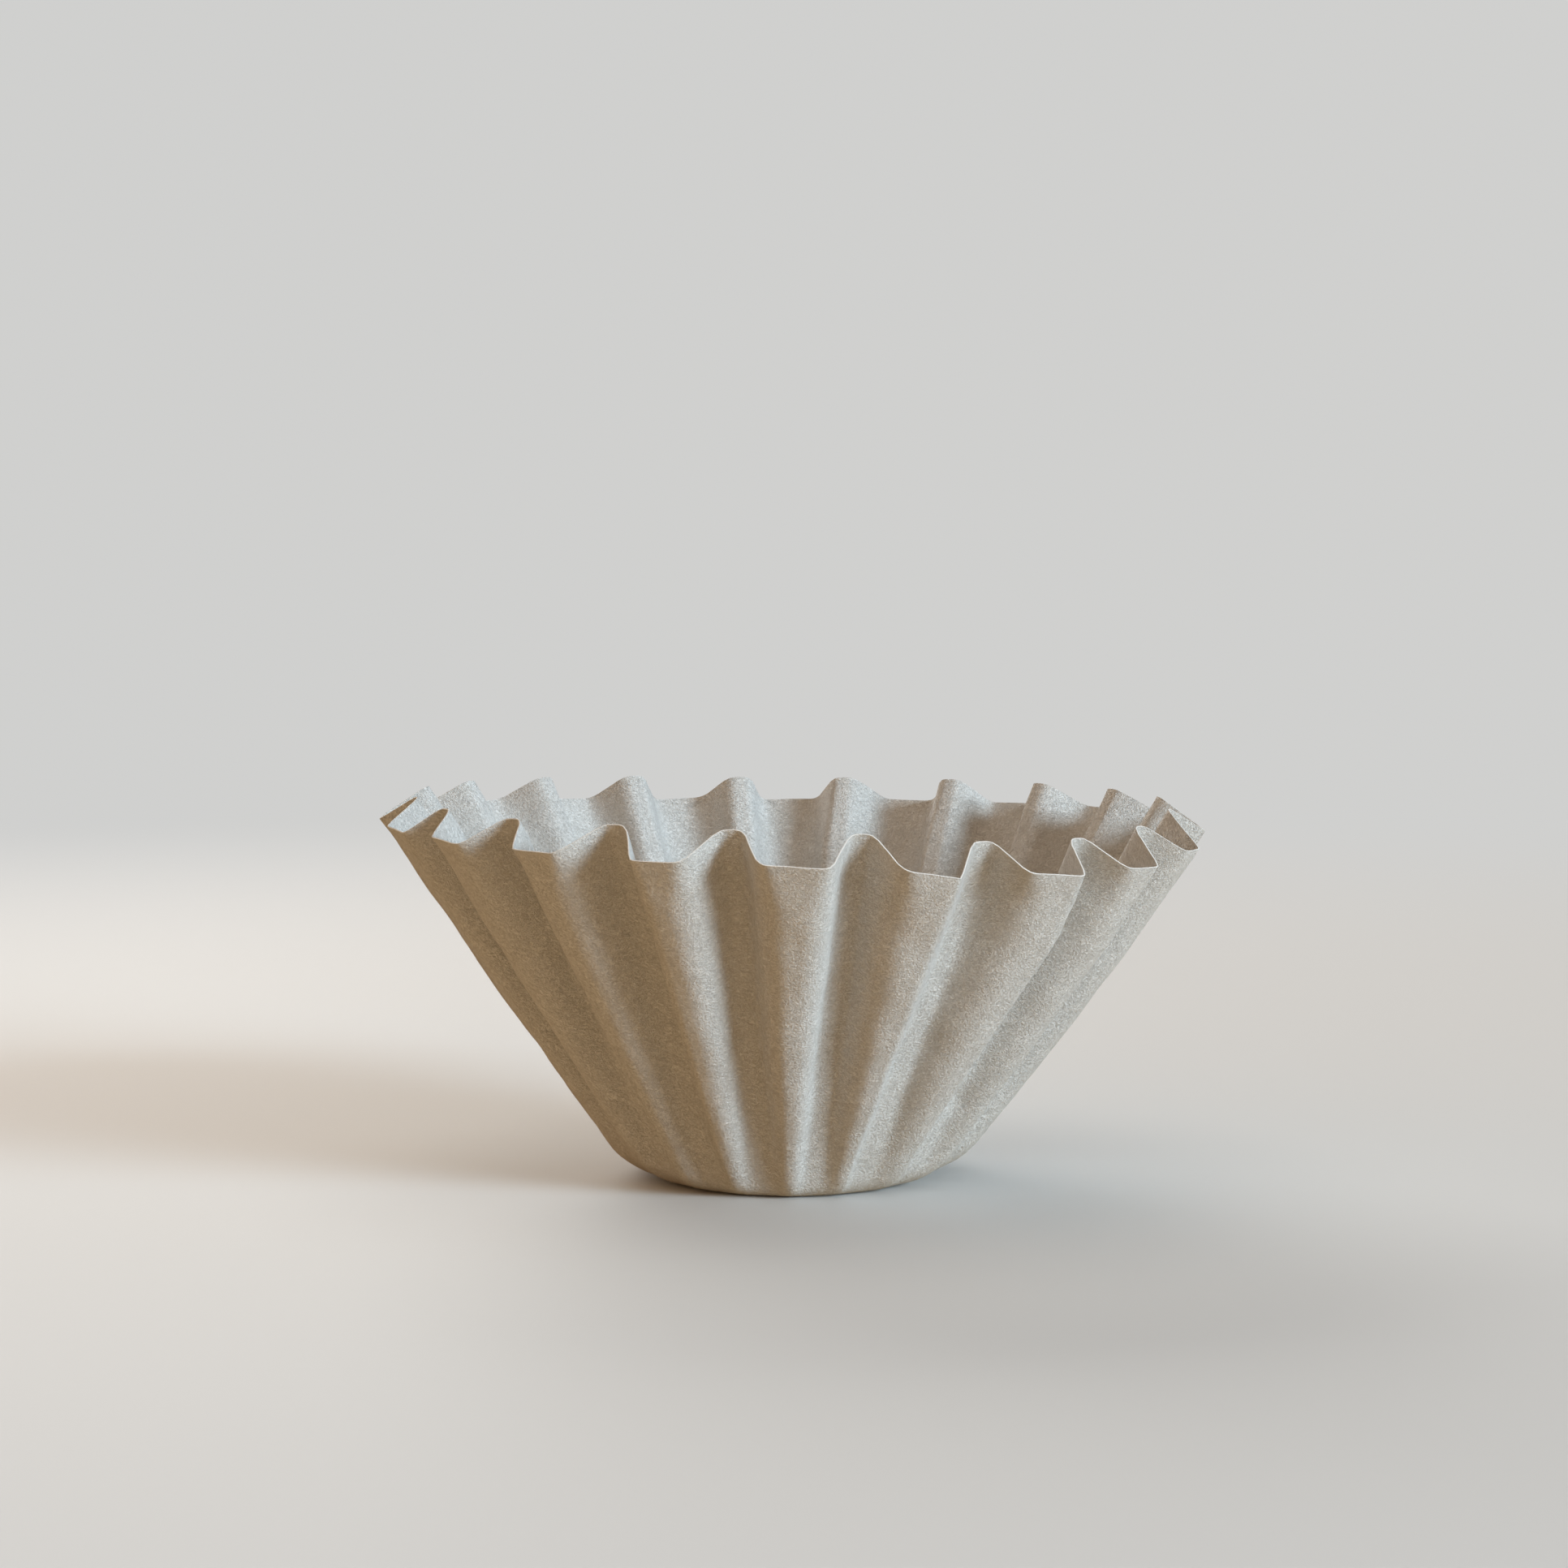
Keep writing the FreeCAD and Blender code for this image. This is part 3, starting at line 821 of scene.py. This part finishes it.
rough = add_node(fibre_group, "ShaderNodeMapRange")
rough.inputs["To Min"].default_value = LEAST_ROUGH
rough.inputs["To Max"].default_value = MOST_ROUGH
fibre_group.links.new(tooth.outputs["Fac"], rough.inputs["Value"])
fibre_group.links.new(rough.outputs["Result"], group_out.inputs["Roughness"])
print("paper_fibres nodes:", len(fibre_group.nodes))


# %% [markdown]
# The material itself is a plain matt shader with a little sheen for the fuzz, and a small share
# of translucence: a single sheet lets some light through, so its shaded side never goes dead. The
# cut edge is a smoother version of it, painted paler: that paler colour is painted light, for the
# light coming out of the paper there.

# %% Paper materials
PAPER_SPECULAR, FUZZ, FUZZ_ROUGHNESS = 0.25, 0.12, 0.6


def paper_material(name, paper, shade, fibre_contrast, cloud_contrast, bump_height, see_through):
    """Filter paper with its own colours, fibre strength and translucence."""
    material = new_material(name)
    tree = material.node_tree
    place = add_node(tree, "ShaderNodeUVMap", uv_map="flat_round")
    group = add_node(tree, "ShaderNodeGroup", node_tree=fibre_group)
    group.inputs["Paper Colour"].default_value = (*paper, 1.0)
    group.inputs["Shade Colour"].default_value = (*shade, 1.0)
    group.inputs["Fibre Contrast"].default_value = fibre_contrast
    group.inputs["Cloud Contrast"].default_value = cloud_contrast
    bump = add_node(tree, "ShaderNodeBump")
    bump.inputs["Distance"].default_value = bump_height * MM
    bump.inputs["Strength"].default_value = 1.0
    shader = add_node(tree, "ShaderNodeBsdfPrincipled")
    shader.inputs["Specular IOR Level"].default_value = PAPER_SPECULAR
    shader.inputs["Sheen Weight"].default_value = FUZZ
    shader.inputs["Sheen Roughness"].default_value = FUZZ_ROUGHNESS
    through = add_node(tree, "ShaderNodeBsdfTranslucent")
    mix = add_node(tree, "ShaderNodeMixShader")
    mix.inputs["Fac"].default_value = see_through
    output = add_node(tree, "ShaderNodeOutputMaterial")
    tree.links.new(place.outputs["UV"], group.inputs["Flat Place"])
    tree.links.new(group.outputs["Height"], bump.inputs["Height"])
    tree.links.new(group.outputs["Colour"], shader.inputs["Base Color"])
    tree.links.new(group.outputs["Roughness"], shader.inputs["Roughness"])
    tree.links.new(bump.outputs["Normal"], shader.inputs["Normal"])
    tree.links.new(group.outputs["Colour"], through.inputs["Color"])
    tree.links.new(bump.outputs["Normal"], through.inputs["Normal"])
    tree.links.new(shader.outputs["BSDF"], mix.inputs[1])
    tree.links.new(through.outputs["BSDF"], mix.inputs[2])
    tree.links.new(mix.outputs["Shader"], output.inputs["Surface"])
    return material


filter_paper = paper_material(
    "filter_paper", paper=(0.88, 0.88, 0.86), shade=(0.56, 0.54, 0.50),
    fibre_contrast=0.46, cloud_contrast=0.26, bump_height=0.095, see_through=0.12)
# The cut edge's paler colours are painted light: the same paper, made paler to stand for the light
# that comes out of it at the edge.
cut_edge_painted_light = paper_material(
    "cut_edge_painted_light", paper=(0.95, 0.94, 0.91), shade=(0.84, 0.82, 0.76),
    fibre_contrast=0.20, cloud_contrast=0.12, bump_height=0.03, see_through=0.25)
filter_mesh.materials.append(filter_paper)
filter_mesh.materials.append(cut_edge_painted_light)
print("materials on the sheet:", [material.name for material in filter_mesh.materials])

# %% [markdown]
# ## Handing over
#
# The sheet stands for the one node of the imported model. It could stay the plain solid there, but
# only the sheet has the uneven flutes and the finish. It rides on the root body, because a paper
# filter has no parts that move.

# %% Hand the sheet to the frame
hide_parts("paper_filter")
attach(filter_sheet, "root")
